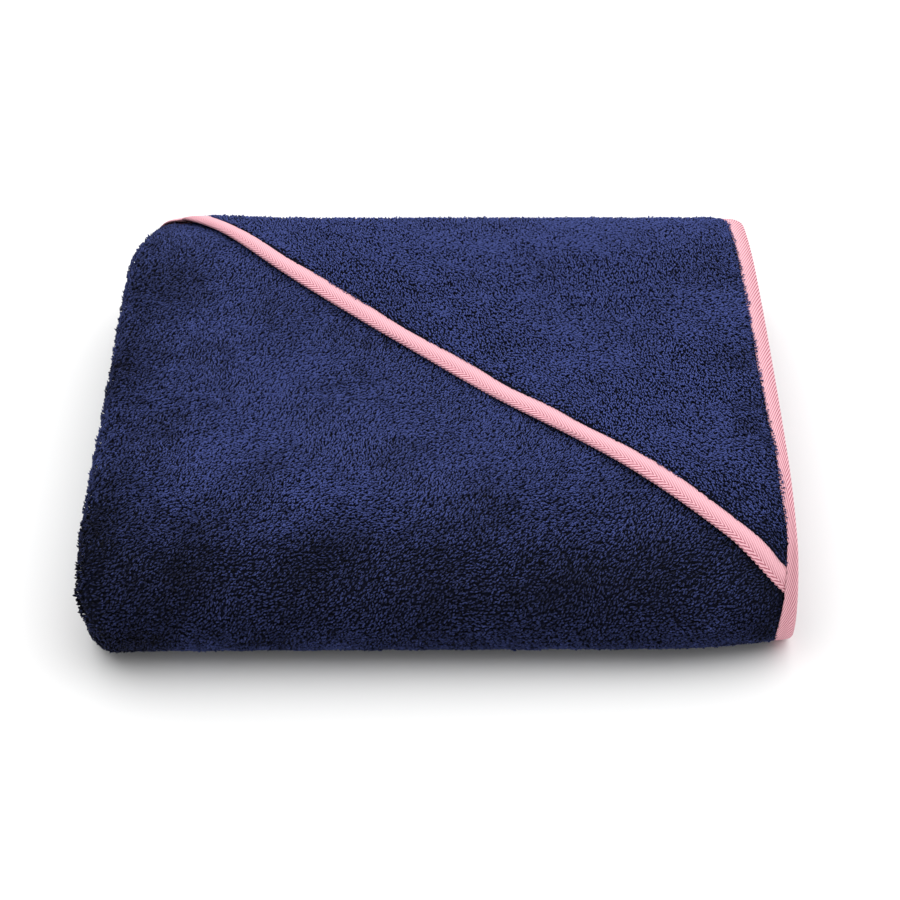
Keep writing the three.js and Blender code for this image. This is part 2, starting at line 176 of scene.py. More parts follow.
right_edge = STACK_WIDTH / 2 - TAPE_REACH
across_profile = FoldedProfile(
    edge=right_edge,
    first_turn=-STACK_WIDTH / 2 + LAYER_PITCH + TERRY_HALF,
    second_turn=right_edge - RIGHT_FOLD_STEP,
    first_radius=LAYER_PITCH,
    second_radius=LAYER_PITCH / 2,
    top=LAYER_PITCH,
    cloth_offset=0,
)
front_fold = -STACK_DEPTH / 2 + PANEL_PITCH + LAYER_PITCH + TERRY_HALF
back_fold = STACK_DEPTH / 2 - PANEL_PITCH / 2 - LAYER_PITCH - TERRY_HALF
turn_length = math.pi * (1.5 * PANEL_PITCH + 2 * LAYER_PITCH)
inner_edge = front_fold + INNER_EDGE_SHORT
along_profile = FoldedProfile(
    edge=inner_edge + TOWEL_SIDE - turn_length - 2 * (back_fold - front_fold),
    first_turn=front_fold,
    second_turn=back_fold,
    first_radius=PANEL_PITCH,
    second_radius=PANEL_PITCH / 2,
    top=2 * PANEL_PITCH + PANEL_HEIGHT / 2,
    cloth_offset=LAYER_PITCH,
)


def onset(value, start):
    """Nothing before start, then growing with the square of the distance."""
    return np.maximum(0, (value - start) / (1 - start)) ** 2


def settle(x, y, z):
    """The stack's own weight: flat on the table, and more uneven the higher up."""
    side = x / (STACK_WIDTH / 2)
    depth = y / (STACK_DEPTH / 2)
    height = z / STACK_HEIGHT
    front = onset(-depth, FRONT_SAG["start"])
    back = onset(depth, BACK_SAG["start"])
    left_front = onset(-depth, FRONT_LEFT_CORNER["start"])

    rise = -front * (FRONT_SAG["drop"] + FRONT_SAG["extra_on_right"] * side) - back * BACK_SAG["drop"]
    rise -= BACK_EDGE["drop"] * onset(depth, BACK_EDGE["start"])
    rise -= BACK_LEFT_CORNER["drop"] * onset(-side, BACK_LEFT_CORNER["sag_start"]) * back
    rise -= FRONT_LEFT_CORNER["drop"] * onset(-side, FRONT_LEFT_CORNER["sag_start"]) * left_front
    for swell in SWELLS:
        distance = np.hypot(x - swell["x"], y - swell["y"]) / SWELL_RADIUS
        rise += swell["height"] * np.exp(-distance ** 2 / 2)

    shift = BOW * (1 - depth ** 2)
    shift += BACK_LEFT_CORNER["pulled_in"] * onset(-side, BACK_LEFT_CORNER["start"]) * back
    shift += FRONT_LEFT_CORNER["pulled_in"] * onset(-side, FRONT_LEFT_CORNER["side_start"]) * left_front
    toe = np.exp(-z / FRONT_LEFT_TOE["height"]) * onset(-side, FRONT_LEFT_TOE["side_start"])
    shift += FRONT_LEFT_TOE["pulled_in"] * toe * left_front
    for spot in LEFT_SPOTS:
        distance = np.hypot(y - spot["y"], z - spot["z"]) / spot["reach"]
        shift += spot["pulled_in"] * np.exp(-distance ** 2 / 2) * onset(-side, LEFT_SIDE_START)

    backward = FRONT_SAG["yaw"] * side * np.maximum(0, -depth)
    right_back = FRONT_RIGHT_CORNER["pulled_back"] + FRONT_RIGHT_CORNER["extra_below"] * (1 - height)
    backward += right_back * onset(side, FRONT_RIGHT_CORNER["start"]) * left_front
    from_drawn = np.hypot(x - DRAWN_BACK["x"], y - DRAWN_BACK["y"]) / DRAWN_BACK["reach"]
    backward += DRAWN_BACK["backward"] * height * np.exp(-from_drawn ** 2 / 2)
    return np.stack([x + shift + CENTRING[0], y + backward + CENTRING[1], z + height * rise], -1)


def off_corner(distance):
    """The nearest distance from an edge that lies outside its rounded corners."""
    return np.clip(distance, CORNER_RADIUS, TOWEL_SIDE - CORNER_RADIUS)


def folded(u, v, lift):
    """Where a point of the flat towel lies: u from the bound right edge, v from the back edge."""
    u, v, lift = np.broadcast_arrays(np.asarray(u, float), np.asarray(v, float), np.asarray(lift, float))
    u_centre, v_centre = off_corner(u), off_corner(v)
    du, dv = u - u_centre, v - v_centre
    ring = np.maximum(np.abs(du), np.abs(dv))
    rounding = np.where(ring > 0, ring / np.maximum(np.hypot(du, dv), TINY), 1)
    u, v = u_centre + du * rounding, v_centre + dv * rounding
    position, level, out, up = across_profile.at(u)
    x = position + lift * out
    off_panel = level + lift * up
    position, level, out, up = along_profile.at(v)
    return settle(x, position + off_panel * out, level + off_panel * up)


def fullness(distance):
    """How full the pile stands at a distance from a taped edge."""
    return np.interp(distance, PRESSED_BAND, PRESSED_FULLNESS)


# How wide the tapes show. The pile leans over the binding along the right edge, most by the front fold.
TAPE_SHOWN = 9.2
RIGHT_EDGE_PLACES = (0, 20, 150, 210, 257, 298, 320, 345, 375, 430, TOWEL_SIDE)
RIGHT_TAPE_WIDTHS = (9.2, 8, 7.3, 6.5, 4.8, 4.2, 5, 6.8, 7.6, 8.5, 9.2)
HOOD_TAPE_NARROWS = ((280, 318), (TAPE_SHOWN, 7.4))


def right_tape_width(v):
    """How wide the binding shows along the right edge."""
    return np.interp(v, RIGHT_EDGE_PLACES, RIGHT_TAPE_WIDTHS)


def from_right(u, v):
    """The distance from the right edge, where the narrower tape moves the cloth outward."""
    return u + TAPE_SHOWN - right_tape_width(v)


def edge_distance(u, v):
    """The distance from the towel's nearest edge."""
    return np.minimum(np.minimum(u, v), np.minimum(TOWEL_SIDE - u, TOWEL_SIDE - v))


def towel_pile_distance(u, v):
    """The same, for the pile, which leans over the binding on the right."""
    return np.minimum(np.minimum(from_right(u, v), v), np.minimum(TOWEL_SIDE - u, TOWEL_SIDE - v))


def hood_edge_distance(u, v):
    """The distance from the hood's long edge, on the hood's side of it."""
    return (HOOD_LEG - u - v) / math.sqrt(2)


def along_hood_edge(u, v):
    """The place along the hood's long edge, from 0 at its left end to HOOD_LEG at its right end."""
    return (HOOD_LEG + v - u) / 2


def from_hood_tape(u, v):
    """The distance from the hood's long edge, whose tape is narrower at its right end."""
    return hood_edge_distance(u, v) + TAPE_SHOWN - np.interp(along_hood_edge(u, v), *HOOD_TAPE_NARROWS)


def towel_half(u, v):
    """Half the towel's thickness with its pile, thin where the binding presses it."""
    return PRESSED_HALF + (TERRY_HALF - PRESSED_HALF) * fullness(edge_distance(u, v))


# By the left end of the hood's tape both tapes stand up off the pile, with a dark gap under them
STAND_OFF_PLACES = (12, 50, 110)
STAND_OFF = (1.6, 0.9, 0)
BINDING_STAND_OFF = {"u": 322, "reach": 16, "rise": 2.2}
DARK_GAP = 2
SUNK_BY_BINDING = 1.2


def tape_stand_off(u, v):
    """How far the hood's tape stands up off the pile."""
    return np.interp(along_hood_edge(u, v), STAND_OFF_PLACES, STAND_OFF)


def near_left_end(u, v):
    """1 by the left end of the hood's tape, and 0 away from it."""
    distance = np.hypot(u - BINDING_STAND_OFF["u"], v) / BINDING_STAND_OFF["reach"]
    return np.exp(-distance ** 2 / 2)


def hood_underside(u, v):
    """The hood lies on the towel, and climbs onto the lower half of its own tape."""
    sewn = HOOD_TAPE_LIFT + HOOD_TAPE_THICKNESS + SEWN_GAP + tape_stand_off(u, v)
    full = fullness(hood_edge_distance(u, v))
    return towel_half(u, v) + sewn + (HOOD_CLEARANCE - sewn) * full


def hood_fullness(u, v):
    """How full the hood's pile stands between the tapes on its three sides."""
    return fullness(np.minimum(from_hood_tape(u, v), np.minimum(from_right(u, v), v)))


def hood_ground_top(u, v):
    """How high the upper face of the hood's ground cloth lies, under its pile."""
    unpressed = HOOD_THICKNESS - HOOD_SEWN - PILE_HEIGHT
    return hood_underside(u, v) + HOOD_SEWN + unpressed * hood_fullness(u, v)


WAVES = 14
WAVE_SPREAD = (0.7, 1.6)


def smooth_noise(u, v, wavelength, seed):
    """Soft random hills, about 1 high, from plane waves with seeded directions."""
    random = np.random.default_rng(seed)
    heading = random.uniform(0, 2 * math.pi, WAVES)
    lengths = wavelength * random.uniform(*WAVE_SPREAD, WAVES)
    phase = random.uniform(0, 2 * math.pi, WAVES)
    total = np.zeros(u.shape)
    for index in range(WAVES):
        run = u * math.cos(heading[index]) + v * math.sin(heading[index])
        total += np.sin(2 * math.pi * run / lengths[index] + phase[index])
    return total / math.sqrt(WAVES / 2)


def unevenness(u, v, rows):
    """The sum of a few sizes of hills, each row with its strength, its width and its own seed."""
    total = 0
    for row in rows:
        total = total + row["strength"] * smooth_noise(u, v, row["width"], SEED + row["seed"])
    return total


# Meshes

def make_piece(name, points, faces, material):
    """A smooth mesh object from points in millimetres and a list of faces."""
    mesh = bpy.data.meshes.new(name)
    mesh.from_pydata((np.asarray(points) * MM).tolist(), [], faces, shade_flat=False)
    mesh.materials.append(material)
    piece = bpy.data.objects.new(name, mesh)
    bpy.context.scene.collection.objects.link(piece)
    return piece


def unit(vectors):
    """The same directions, each of length 1."""
    return vectors / np.maximum(np.linalg.norm(vectors, axis=-1, keepdims=True), TINY)


def stepped(start, *runs):
    """Lines from the start through runs, each with its end and its number of steps."""
    lines = [[start]]
    for end, steps in runs:
        lines.append(np.linspace(start, end, steps + 1)[1:])
        start = end
    return np.concatenate(lines)


def closed_sheet(upper, lower):
    """The points and faces of a closed sheet, from two grids of points."""
    count = upper.shape[0] * upper.shape[1]
    number = np.arange(count).reshape(upper.shape[:2])
    here, right, ahead, across = number[:-1, :-1], number[1:, :-1], number[:-1, 1:], number[1:, 1:]
    top = np.stack([here, right, across, ahead], -1).reshape(-1, 4)
    rim = np.concatenate([number[:, 0], number[-1, 1:], number[-2::-1, -1], number[0, -2:0:-1]])
    following = np.roll(rim, -1)
    wall = np.stack([rim, rim + count, following + count, following], -1)
    faces = np.concatenate([top, top[:, ::-1] + count, wall])
    return np.concatenate([upper.reshape(-1, 3), lower.reshape(-1, 3)]), faces.tolist()


# The ground cloth

# It is thin under the pile that shows, and fills the cloth's thickness between the layers
HIDDEN_HALF = 2.4
SEWN_HALF = 0.7
LEFT_TURN = (across_profile.turn_in, across_profile.turn_out)
LEFT_FOLD = sum(LEFT_TURN) / 2
RIGHT_TURN = (across_profile.back_in, across_profile.back_out)
PILED_ACROSS = ((-1, LEFT_TURN[1] + 8), (RIGHT_TURN[0] - 9, RIGHT_TURN[1] + 10))
PILED_BACK = along_profile.back_out + 16
THINNED_OVER = 4
TURN_MARGIN = 9
PAST_THINNING = THINNED_OVER / 2
PAST_TURN = 3
PAST_PANEL = 6


def thinned(u, v):
    """1 where the pile shows, and the ground cloth is thin under it; 0 between the layers."""
    shown = np.zeros(np.broadcast(u, v).shape)
    for start, end in PILED_ACROSS:
        shown = np.maximum(shown, np.clip(np.minimum(u - start, end - u) / THINNED_OVER + 0.5, 0, 1))
    in_turn = np.zeros(shown.shape, bool)
    for start, end in (LEFT_TURN, RIGHT_TURN):
        in_turn |= (u > start - TURN_MARGIN) & (u < end + TURN_MARGIN)
    inner_panel = np.clip((v - PILED_BACK) / THINNED_OVER + 0.5, 0, 1) * ~in_turn
    return shown * (1 - inner_panel)


def towel_ground_top(u, v):
    """How high the upper face of the towel's ground cloth lies over the cloth's middle."""
    shown = thinned(u, v)
    half = GROUND_HALF * shown + HIDDEN_HALF * (1 - shown)
    top = SEWN_HALF + (half - SEWN_HALF) * fullness(towel_pile_distance(u, v))
    return top - SUNK_BY_BINDING * near_left_end(u, v)


# The lines of a mesh lie closer where a tape presses the cloth: (end, number of steps)
NEAR_BAND = tuple(zip(PRESSED_BAND, (4, 2, 3)))
FAR_BAND = tuple(zip([TOWEL_SIDE - distance for distance in (*PRESSED_BAND[::-1], 0)], (14, 3, 2, 4)))


def make_towel_ground(material):
    """The towel's ground cloth as one closed sheet, with its lines where the cloth turns or thins."""
    u_lines = stepped(
        0, (min(RIGHT_TAPE_WIDTHS), 2), (PRESSED_BAND[0], 8), (PRESSED_BAND[1], 3), (PRESSED_BAND[2], 3),
        (LEFT_TURN[0], 60), (LEFT_TURN[1], 13), (PILED_ACROSS[0][1] + PAST_THINNING, 3),
        (PILED_ACROSS[1][0] - PAST_THINNING, 18), (RIGHT_TURN[0] - PAST_TURN, 2),
        (RIGHT_TURN[1] + PAST_TURN, 14), (PILED_ACROSS[1][1] + PAST_THINNING, 2), *FAR_BAND)
    v_lines = stepped(
        0, *NEAR_BAND, (along_profile.turn_in, 54), (along_profile.turn_out, 34),
        (along_profile.back_in, 32), (along_profile.back_out, 22), (PILED_BACK + PAST_PANEL, 4), *FAR_BAND)
    u, v = np.meshgrid(u_lines, v_lines, indexing="ij")
    lower = SEWN_HALF + (HIDDEN_HALF - SEWN_HALF) * fullness(edge_distance(u, v))
    points, faces = closed_sheet(folded(u, v, towel_ground_top(u, v)), folded(u, v, -lower))
    return make_piece("towel_ground", points, faces, material)


HOOD_TIP_LENGTH = 30
HOOD_TIP_WIDTH = 0.5


def make_hood_ground(material):
    """The hood's ground cloth, in rows that shorten towards its tip."""
    rows = stepped(0, *NEAR_BAND, (HOOD_LEG - HOOD_TIP_LENGTH, 56), (HOOD_LEG - HOOD_TIP_WIDTH, 10))
    shares = stepped(0, (0.012, 2), (0.045, 12), (0.9, 48), (0.95, 6), (1, 5))
    share, v = np.meshgrid(shares, rows, indexing="ij")
    u = (HOOD_LEG - v) * share
    points, faces = closed_sheet(folded(u, v, hood_ground_top(u, v)), folded(u, v, hood_underside(u, v)))
    return make_piece("hood_ground", points, faces, material)


# Tapes, folded in half over an edge

# A real tape of this kind has a rib every 1 to 1.5 mm. They are drawn coarser here, so that they show.
# The binding's are coarser again, as finer ones shimmer where it is seen at a slant.
RIB_PITCH_ALONG = 2.6
RIB_ANGLE = 26
BINDING_STEEPER = 0.95
BINDING_RIB_SCALE = 0.78

# How far from the fold the ribs meet in a spine. On the binding that lies past its sewn edge,
# so all its ribs that show run one way.
HERRINGBONE_SPINE = 2.9
BINDING_SPINE = 14

# The ribs' relief, and the painted shade in their grooves, are deep by the fold and fade towards the sewn
# edge, where the tape is drawn tight.
# The binding's ribs and their painted shade fade further from the fold than the hood tape's, and most by
# the front fold, where the binding turns away from the light.
RIBS_FADE = {"from": 2.5, "to": 7.0, "deep": 0.9, "shallow": 0.35}
RIB_RELIEF = 0.4
RIBS_FADE_LATER = ((0, 230, 340, 430), (0.62, 0.58, 0.35, 0.3))

# The tape's section, and the stitches that draw in its sewn edge
FOLD_STEPS = 6
FOLD_STARTS = 0.6
CROWN_POWER = 0.7
INNER_PLACES = (TAPE_SHOWN, 4, -CLEARANCE)
STITCH_PITCH = 14
STITCH_REACH = 0.7
STITCH_UNEVEN = 0.4
HOOD_STITCH_SEED = SEED + 32
BINDING_STITCH_SEED = SEED + 33
BITE_DEPTHS = (0.2, 0.8)


def tape_section(under, over, thickness, crown):
    """Rows of (inward, lift, place across the tape) round its section. The lifts may be arrays."""
    rows = []
    inwards = np.linspace(TAPE_SHOWN, FOLD_STARTS, 6)
    middle = (under + over) / 2
    half = (over - under) / 2 + thickness
    reach = FOLD_STARTS + CLEARANCE + thickness
    for inward in inwards:
        rows.append((inward, under - thickness + 0 * middle))
    for step in range(1, FOLD_STEPS):
        angle = -math.pi / 2 + math.pi * step / FOLD_STEPS
        rows.append((FOLD_STARTS - reach * math.cos(angle), middle + half * math.sin(angle)))
    for inward in inwards[::-1]:
        bulge = 0
        if inward < TAPE_SHOWN:
            bulge = crown * math.sin(math.pi * inward / TAPE_SHOWN) ** CROWN_POWER
        rows.append((inward, over + thickness + bulge + 0 * middle))
    flat = [(inward, float(np.mean(lift))) for inward, lift in rows]
    steps = [math.dist(here, there) for here, there in zip(flat, flat[1:])]
    places = np.concatenate([[0], np.cumsum(steps)])
    places -= places[len(rows) // 2]
    outside = [(inward, lift, place) for (inward, lift), place in zip(rows, places)]
    inside = [(inward, over + 0 * middle, inward) for inward in INNER_PLACES]
    inside += [(inward, under + 0 * middle, -inward) for inward in INNER_PLACES[::-1]]
    return outside + inside


def stitched_in(along, seed):
    """How far the stitches draw in the tape's sewn edge, in small bites at uneven places."""
    random = np.random.default_rng(seed)
    bites = np.arange(STITCH_PITCH, along.max(), STITCH_PITCH)
    bites = bites + random.uniform(-STITCH_UNEVEN, STITCH_UNEVEN, len(bites)) * STITCH_PITCH
    depths = random.uniform(*BITE_DEPTHS, len(bites))
    nearest = np.abs(along[:, None] - bites[None])
    return (depths * np.exp(-(nearest / STITCH_REACH) ** 2)).sum(1)


def make_tape(name, rings, along, across, from_fold, closed, material):
    """A tape from rings of points: rings[station, corner]. Its map holds millimetres along and across it.

    It also keeps how far each point lies from the fold, where the ribs and the painted shade in their
    grooves are deepest.
    """
    stations, corners = rings.shape[:2]
    number = np.arange(stations * corners).reshape(stations, corners)
    following = np.roll(number, -1, 0) if closed else number[1:]
    here = number if closed else number[:-1]
    faces = np.stack([here, np.roll(here, -1, 1), np.roll(following, -1, 1), following], -1).reshape(-1, 4)
    faces = faces.tolist()
    if not closed:
        faces.append(number[0, ::-1].tolist())
        faces.append(number[-1].tolist())
    next_along = np.roll(along, -1, 1)
    ends = np.stack([along[:-1], next_along[:-1], next_along[1:], along[1:]], -1)
    next_across = np.roll(across, -1)
    sides = np.broadcast_to(np.stack([across, next_across, next_across, across], -1), ends.shape)
    piece = make_piece(name, rings.reshape(-1, 3), faces, material)
    weave = piece.data.uv_layers.new(name="weave")
    values = np.zeros((len(piece.data.loops), 2), np.float32)
    values[:ends.size] = np.stack([ends.ravel(), sides.ravel()], -1)
    weave.data.foreach_set("uv", values.ravel())
    distances = np.broadcast_to(np.abs(from_fold), (stations, corners)).ravel().astype(np.float32)
    piece.data.attributes.new("from_fold", "FLOAT", "POINT").data.foreach_set("value", distances)
    return piece


# The hood's tape: the levels of its two halves over the towel's pile, and how its ends are cut
HOOD_TAPE_UNDER = HOOD_TAPE_LIFT + HOOD_TAPE_THICKNESS
HOOD_TAPE_OVER = HOOD_TAPE_UNDER + HOOD_SEWN + 2 * SEWN_GAP
HOOD_TAPE_CROWN = 0.3
HOOD_TAPE_TOP = HOOD_TAPE_OVER + HOOD_TAPE_THICKNESS + HOOD_TAPE_CROWN
HOOD_TAPE_STATIONS = 840
HOOD_TAPE_CUT = 4.5
HOOD_TAPE_WOBBLE = ({"strength": 0.35, "width": 45, "seed": 30},)
TOOTH = 0.55


def make_hood_tape(material):
    """The tape on the hood's long edge, cut along the binding at both ends and tucked under it."""
    line = np.linspace(HOOD_TAPE_CUT, HOOD_LEG - HOOD_TAPE_CUT, HOOD_TAPE_STATIONS)
    along = line * math.sqrt(2)
    narrow = np.interp(line, *HOOD_TAPE_NARROWS) / TAPE_SHOWN
    wobble = unevenness(along, 0 * along, HOOD_TAPE_WOBBLE)
    bites = stitched_in(along, HOOD_STITCH_SEED)
    tooth = TOOTH * np.abs(np.sin(math.pi * along / RIB_PITCH_ALONG))
    rings = []
    cuts = []
    from_fold = []
    section = tape_section(HOOD_TAPE_UNDER, HOOD_TAPE_OVER, HOOD_TAPE_THICKNESS, HOOD_TAPE_CROWN)
    for inward, lift, place in section:
        narrowed = inward * narrow if inward > 0 else inward
        shifted = narrowed + wobble * (inward > 0) - tooth * (inward < 0) - bites * (inward == TAPE_SHOWN)
        inset = shifted * math.sqrt(0.5)
        cut_back = HOOD_TAPE_CUT + np.maximum(inset, 0)
        cut = np.clip(line, cut_back, HOOD_LEG - cut_back)
        u = HOOD_LEG - cut - inset
        v = cut - inset
        rings.append(folded(u, v, towel_half(u, v) + tape_stand_off(u, v) + lift))
        cuts.append(cut)
        from_fold.append(place)
    rings = np.stack(rings, 1)
    along = np.stack(cuts, 1) * math.sqrt(2)
    from_fold = np.asarray(from_fold)
    across = from_fold - HERRINGBONE_SPINE
    return make_tape("hood_tape", rings, along, across, from_fold, False, material)


# How high the binding's upper half lies over the towel, over the hood and over the hood's tape
OVER_TOWEL = PRESSED_HALF + BINDING_CLEARANCE
OVER_HOOD = PRESSED_HALF + HOOD_CLEARANCE + HOOD_PRESSED + BINDING_CLEARANCE
OVER_HOOD_TAPE = PRESSED_HALF + HOOD_TAPE_TOP + CLEARANCE
BINDING_CROWN = 0.4
BINDING_WOBBLE = ({"strength": 0.3, "width": 50, "seed": 31},)
WOBBLES_BEYOND = 2

# Along the right side the binding shows as far as this, and has the closest stations there
SHOWN_ON_RIGHT = 430

# The binding climbs over the hood, and a little more over the end of the hood's tape
CLIMB_PLACES = (0, HOOD_LEG - 42, HOOD_LEG - 26, HOOD_LEG + 1, HOOD_LEG + 22, TOWEL_SIDE)
CLIMB_LIFTS = (OVER_HOOD, OVER_HOOD, OVER_HOOD_TAPE, OVER_HOOD_TAPE, OVER_TOWEL, OVER_TOWEL)


def binding_stations():
    """Round the towel's edge once from the hood's corner: the base point and the upper half's lift."""
    side = TOWEL_SIDE
    corner = (CORNER_RADIUS, 10)
    last_corner = ((side - CORNER_RADIUS, 24), (side, 10))
    shown = stepped(
        0, corner, (SHOWN_ON_RIGHT, 440), (along_profile.back_in, 30), (along_profile.back_out, 30),
        *last_corner)
    plain_along = stepped(
        0, corner, (along_profile.turn_in, 34), (along_profile.turn_out, 40), (along_profile.back_in, 26),
        (along_profile.back_out, 26), *last_corner)
    plain_across = stepped(
        0, corner, (LEFT_TURN[0], 110), (LEFT_TURN[1], 14), (RIGHT_TURN[0], 26), (RIGHT_TURN[1], 12),
        *last_corner)
    back = [(u, 0, np.interp(u, CLIMB_PLACES, CLIMB_LIFTS)) for u in plain_across[:-1]]
    left = [(side, v, OVER_TOWEL) for v in plain_along[:-1]]
    front = [(u, side, OVER_TOWEL) for u in plain_across[:0:-1]]
    right = [(0, v, np.interp(v, CLIMB_PLACES, CLIMB_LIFTS)) for v in shown[:0:-1]]
    return np.array(back + left + front + right, float)


def make_edge_tape(material):
    """The binding, as one closed tape round all four sides of the towel."""
    u, v, lift = binding_stations().T
    u_centre, v_centre = off_corner(u), off_corner(v)
    step = np.hypot(np.diff(u, append=u[0]), np.diff(v, append=v[0]))
    along = np.concatenate([[0], np.cumsum(step)])
    wobble = unevenness(along[:-1], 0 * along[:-1], BINDING_WOBBLE)
    bites = stitched_in(along[:-1], BINDING_STITCH_SEED)
    stand_off = BINDING_STAND_OFF["rise"] * near_left_end(u, v)
    rings = []
    from_fold = []
    for inward, height, place in tape_section(-OVER_TOWEL, lift, TAPE_THICKNESS, BINDING_CROWN):
        if place > 0:
            height = height + stand_off * min(1, 1 - inward / TAPE_SHOWN)
        narrowed = inward * np.where(u == 0, right_tape_width(v) / TAPE_SHOWN, 1) if inward > 0 else inward
        shifted = narrowed + wobble * (inward > WOBBLES_BEYOND) - bites * (inward == TAPE_SHOWN)
        share = 1 - shifted / CORNER_RADIUS
        rings.append(folded(u_centre + (u - u_centre) * share, v_centre + (v - v_centre) * share, height))
        from_fold.append(place)
    from_fold = np.asarray(from_fold)
    across = BINDING_RIB_SCALE * (from_fold * BINDING_STEEPER - BINDING_SPINE)
    along = np.tile(-BINDING_RIB_SCALE * along[:, None], (1, len(rings)))
    # Deeper ribs, with more painted shade in their grooves, by the front fold
    from_fold = from_fold * np.interp(v, *RIBS_FADE_LATER)[:, None]
    return make_tape("edge_tape", np.stack(rings, 1), along, across, from_fold, True, material)


# Pile

# Real terry loops are about 1.5 mm long and lie closer. They are drawn coarser here, so that they show.
LOOP_LENGTH = 2.5
LOOP_RADIUS = 0.56
LENGTH_SPREAD = (0.7, 1.3)
CLIMB_SPREAD = (0.8, 1.15)
RADIUS_SPREAD = (0.8, 1.2)
TIP_CLIMBS = (0.5, 1.05)
ROOT_SUNK = 0.3
BEND_PLACE = 0.45
BEND_CLIMB = 0.75
LOWEST_POINT = 0.02
HEADING_SPREAD = 0.22
CURL_SPREAD = 0.28
ROW_SHARE = 0.9
JITTER = 0.33

# Some loops stand up, shorter and higher, and more of them do on the left fold, where they show as tufts
UPRIGHT = {"share": 0.14, "length": 0.5, "climb": 1.45}
TUFTS = {"upright_share": 0.5, "extra_rise": 0.55, "reach": 8}

# A loop has five points: its root, a bend of three points with the first one on its back, and its tip
BEND_ANGLES = [math.radians(90 + 120 * corner) for corner in range(3)]
LOOP_FACES = ((0, 1, 2), (0, 2, 3), (0, 3, 1), (4, 2, 1), (4, 3, 2), (4, 1, 3))
# Painted shading of each point, as a factor on the loop's colour: painted shade at the root and the two
# sides, painted light on the back
PAINTED_CORNER_SHADING = (0.12, 1.22, 0.7, 0.7, 0.98)
POINTS_IN_LOOP = len(PAINTED_CORNER_SHADING)
LOOP_SHADE_SPREAD = 0.2

# Where the nap leans, in degrees, and by how much it turns from place to place
TOWEL_NAP = ((150, 300, 400), (228, 216, 208))
HOOD_NAP = 128
TOWEL_NAP_TURNS = (
    {"strength": 0.22, "width": 70, "seed": 0},
    {"strength": 0.14, "width": 22, "seed": 1},
)
HOOD_NAP_TURNS = (
    {"strength": 0.3, "width": 80, "seed": 2},
    {"strength": 0.2, "width": 24, "seed": 3},
)

# How the nap's height and shade change in soft clouds
RISE_CLOUDS = ({"strength": 0.1, "width": 16, "seed": 5},)
NAP_CLOUDS = (
    {"strength": 0.07, "width": 45, "seed": 8},
    {"strength": 0.05, "width": 14, "seed": 9},
)

# Painted shade where the nap is brushed up, and painted light where it lies flat, in place of how light
# falls on the turned nap; placed in x and y from above
PAINTED_LIGHT_AND_SHADE_PATCHES = (
    {"x": 56, "y": 85, "radius": 15, "shade": 0.8},
    {"x": 139, "y": 80, "radius": 14, "shade": 0.72},
    {"x": 148, "y": 10, "radius": 16, "shade": 0.75},
    {"x": 158, "y": -60, "radius": 26, "shade": 0.75},
    {"x": -15, "y": -30, "radius": 14, "shade": 0.8},
    {"x": -42, "y": 33, "radius": 20, "shade": 0.8},
    {"x": -70, "y": 52, "radius": 20, "shade": 0.84},
    {"x": -144, "y": 71, "radius": 22, "shade": 0.8},
    {"x": -165, "y": -12, "radius": 20, "shade": 0.75},
    {"x": 34, "y": -71, "radius": 12, "shade": 0.85},
    {"x": -53, "y": -103, "radius": 25, "shade": 1.12},
    {"x": -11, "y": 108, "radius": 30, "shade": 1.08},
    {"x": 70, "y": 110, "radius": 18, "shade": 1.12},
)

# Painted shade: the nap is drawn darker down the front fold, towards the back edge, and towards the left
# and right sides, where less light falls on it
DEPTH_SHADE_PLACES = (-168, -158, -150, -131, -107, -70, 110, 150)
DEPTH_SHADES = (0.5, 0.48, 0.5, 0.64, 0.8, 1, 1, 0.93)
SIDE_SHADE_PLACES = (-172, -150, -120, -100, 135, 162)
SIDE_SHADES = (0.56, 0.72, 0.93, 1, 1, 0.78)

# The painted shadow beside the hood's tape, and each cut piece's painted light level: painted shade on the
# towel, painted light on the hood
TAPE_SHADOW = {"reach": 4, "places": (0, 150, 300), "depths": (0.35, 0.3, 0.5)}
TOWEL_PAINTED_SHADE = 0.93
HOOD_PAINTED_LIGHT = 1.12

# The stretches of pile: where each lies on the flat cloth, and how close its loops are.
# Those on the outside of the stack are closest, and those that rest on the table are the widest apart.
FRONT_FOLD_START = along_profile.turn_in - 30
FRONT_FOLD_END = along_profile.turn_out + 8
LAST_ROW = TOWEL_SIDE - 10
CLOSEST_SPACING = 1.33
TOWEL_PILE = (
    {"name": "towel_pile_top", "u": (4, 340), "v": (8, 190), "spacing": CLOSEST_SPACING},
    {"name": "towel_pile_middle", "u": (4, 340), "v": (190, FRONT_FOLD_START), "spacing": CLOSEST_SPACING},
    {"name": "towel_pile_front", "u": (4, 340), "v": (FRONT_FOLD_START, FRONT_FOLD_END), "spacing": 1.45},
    {"name": "towel_pile_left", "u": (340, 358), "v": (8, FRONT_FOLD_END), "spacing": 1.5},
    {"name": "towel_pile_lower_left", "u": (324, 358), "v": (FRONT_FOLD_END, LAST_ROW), "spacing": 2.2},
    {"name": "towel_pile_right", "u": (664, 690), "v": (8, LAST_ROW), "spacing": 2.2},
    {"name": "towel_pile_back", "u": (8, 324), "v": (650, 744), "spacing": 2.2},
    {"name": "towel_pile_underside", "u": (8, 324), "v": (FRONT_FOLD_END, 650), "spacing": 4.2},
)
HOOD_PILE = (
    {"name": "hood_pile_back", "u": (3, 322), "v": (8, 105), "spacing": CLOSEST_SPACING},
    {"name": "hood_pile_front", "u": (3, 230), "v": (105, 322), "spacing": CLOSEST_SPACING},
)

